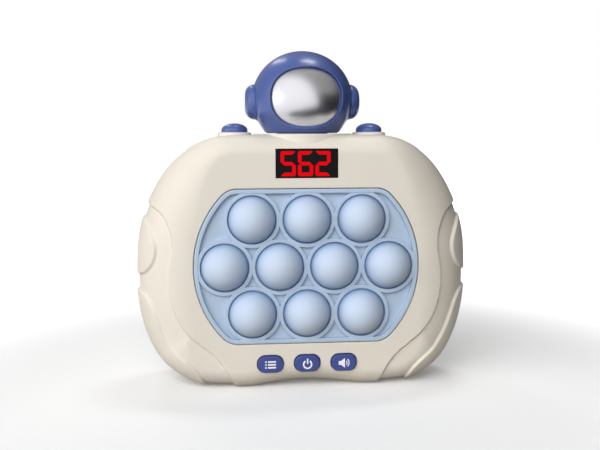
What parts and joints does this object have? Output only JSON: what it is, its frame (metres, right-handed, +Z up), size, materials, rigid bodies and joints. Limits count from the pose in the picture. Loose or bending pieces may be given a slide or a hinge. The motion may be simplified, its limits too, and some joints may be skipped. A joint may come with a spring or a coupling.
{
  "type": "electronic quick push game",
  "caption": "Hand-held electronic reaction game: a rounded two-piece casing with light-up push bubbles, a score display, keys, shoulder buttons and a helmeted head with a mirror visor.",
  "frame": {"origin": "middle of the overall width and depth, at the height of the feet that it stands on", "axes": "+X to the right as seen by the player, -Y the way the bubbles face, +Z up through the helmet"},
  "size_m": [0.15, 0.0532, 0.1487],
  "materials": {
    "casing": "satin moulded plastic, cream",
    "panel": "satin moulded plastic, pale blue",
    "bubble": "matte silicone, pale blue",
    "plunger": "milky light-spreading plastic",
    "switch": "black moulded plastic",
    "board": "green lacquered circuit board",
    "window": "polished smoked plastic",
    "navy": "smooth blue plastic",
    "visor": "vacuum-metallised silver mirror",
    "steel": "bright plated steel",
    "cell": "printed metal jacket",
    "speaker": "dark frame with a round magnet"
  },
  "bodies": {
    "casing": {"front_shell": "casing", "rear_shell": "casing", "case_screw_1": "steel", "case_screw_2": "steel", "case_screw_3": "steel", "case_screw_4": "steel", "bubble_panel": "panel", "tact_switch_1": "switch", "tact_switch_2": "switch", "tact_switch_3": "switch", "tact_switch_4": "switch", "tact_switch_5": "switch", "tact_switch_6": "switch", "tact_switch_7": "switch", "tact_switch_8": "switch", "tact_switch_9": "switch", "tact_switch_10": "switch", "main_board": "board", "display_window": "window", "display_module": "switch", "key_board": "board", "helmet_front": "navy", "helmet_rear": "navy", "visor": "visor", "ear_cap_left": "navy", "ear_cap_right": "navy", "battery_1": "cell", "battery_2": "cell", "battery_3": "cell", "contact_left": "steel", "contact_right": "steel", "speaker": "speaker"},
    "bubble_1": {"bubble_1": "bubble", "plunger_1": "plunger"},
    "bubble_2": {"bubble_2": "bubble", "plunger_2": "plunger"},
    "bubble_3": {"bubble_3": "bubble", "plunger_3": "plunger"},
    "bubble_4": {"bubble_4": "bubble", "plunger_4": "plunger"},
    "bubble_5": {"bubble_5": "bubble", "plunger_5": "plunger"},
    "bubble_6": {"bubble_6": "bubble", "plunger_6": "plunger"},
    "bubble_7": {"bubble_7": "bubble", "plunger_7": "plunger"},
    "bubble_8": {"bubble_8": "bubble", "plunger_8": "plunger"},
    "bubble_9": {"bubble_9": "bubble", "plunger_9": "plunger"},
    "bubble_10": {"bubble_10": "bubble", "plunger_10": "plunger"},
    "menu_button": {"menu_button": "navy"},
    "power_button": {"power_button": "navy"},
    "volume_button": {"volume_button": "navy"},
    "top_button_left": {"top_button_left": "navy"},
    "top_button_right": {"top_button_right": "navy"},
    "battery_door": {"battery_door": "casing", "battery_door_screw": "steel"}
  },
  "joints": [
    {"name": "bubble_1_push", "type": "slide", "parent": "casing", "child": "bubble_1", "axis": [0, 1, 0], "range_m": [0, 0.0042], "stiffness_N_per_m": 350, "springref_m": -0.001},
    {"name": "bubble_2_push", "type": "slide", "parent": "casing", "child": "bubble_2", "axis": [0, 1, 0], "range_m": [0, 0.0042], "stiffness_N_per_m": 350, "springref_m": -0.001},
    {"name": "bubble_3_push", "type": "slide", "parent": "casing", "child": "bubble_3", "axis": [0, 1, 0], "range_m": [0, 0.0042], "stiffness_N_per_m": 350, "springref_m": -0.001},
    {"name": "bubble_4_push", "type": "slide", "parent": "casing", "child": "bubble_4", "axis": [0, 1, 0], "range_m": [0, 0.0042], "stiffness_N_per_m": 350, "springref_m": -0.001},
    {"name": "bubble_5_push", "type": "slide", "parent": "casing", "child": "bubble_5", "axis": [0, 1, 0], "range_m": [0, 0.0042], "stiffness_N_per_m": 350, "springref_m": -0.001},
    {"name": "bubble_6_push", "type": "slide", "parent": "casing", "child": "bubble_6", "axis": [0, 1, 0], "range_m": [0, 0.0042], "stiffness_N_per_m": 350, "springref_m": -0.001},
    {"name": "bubble_7_push", "type": "slide", "parent": "casing", "child": "bubble_7", "axis": [0, 1, 0], "range_m": [0, 0.0042], "stiffness_N_per_m": 350, "springref_m": -0.001},
    {"name": "bubble_8_push", "type": "slide", "parent": "casing", "child": "bubble_8", "axis": [0, 1, 0], "range_m": [0, 0.0042], "stiffness_N_per_m": 350, "springref_m": -0.001},
    {"name": "bubble_9_push", "type": "slide", "parent": "casing", "child": "bubble_9", "axis": [0, 1, 0], "range_m": [0, 0.0042], "stiffness_N_per_m": 350, "springref_m": -0.001},
    {"name": "bubble_10_push", "type": "slide", "parent": "casing", "child": "bubble_10", "axis": [0, 1, 0], "range_m": [0, 0.0042], "stiffness_N_per_m": 350, "springref_m": -0.001},
    {"name": "menu_button_press", "type": "slide", "parent": "casing", "child": "menu_button", "axis": [0, 1, 0], "range_m": [0, 0.001], "stiffness_N_per_m": 900, "springref_m": -0.0006},
    {"name": "power_button_press", "type": "slide", "parent": "casing", "child": "power_button", "axis": [0, 1, 0], "range_m": [0, 0.001], "stiffness_N_per_m": 900, "springref_m": -0.0006},
    {"name": "volume_button_press", "type": "slide", "parent": "casing", "child": "volume_button", "axis": [0, 1, 0], "range_m": [0, 0.001], "stiffness_N_per_m": 900, "springref_m": -0.0006},
    {"name": "top_button_left_press", "type": "slide", "parent": "casing", "child": "top_button_left", "axis": [0, 0, -1], "range_m": [0, 0.002], "stiffness_N_per_m": 600, "springref_m": -0.0006},
    {"name": "top_button_right_press", "type": "slide", "parent": "casing", "child": "top_button_right", "axis": [0, 0, -1], "range_m": [0, 0.002], "stiffness_N_per_m": 600, "springref_m": -0.0006},
    {"name": "battery_door_lift", "type": "slide", "parent": "casing", "child": "battery_door", "axis": [0, 1, 0], "range_m": [0, 0.06]}
  ]
}
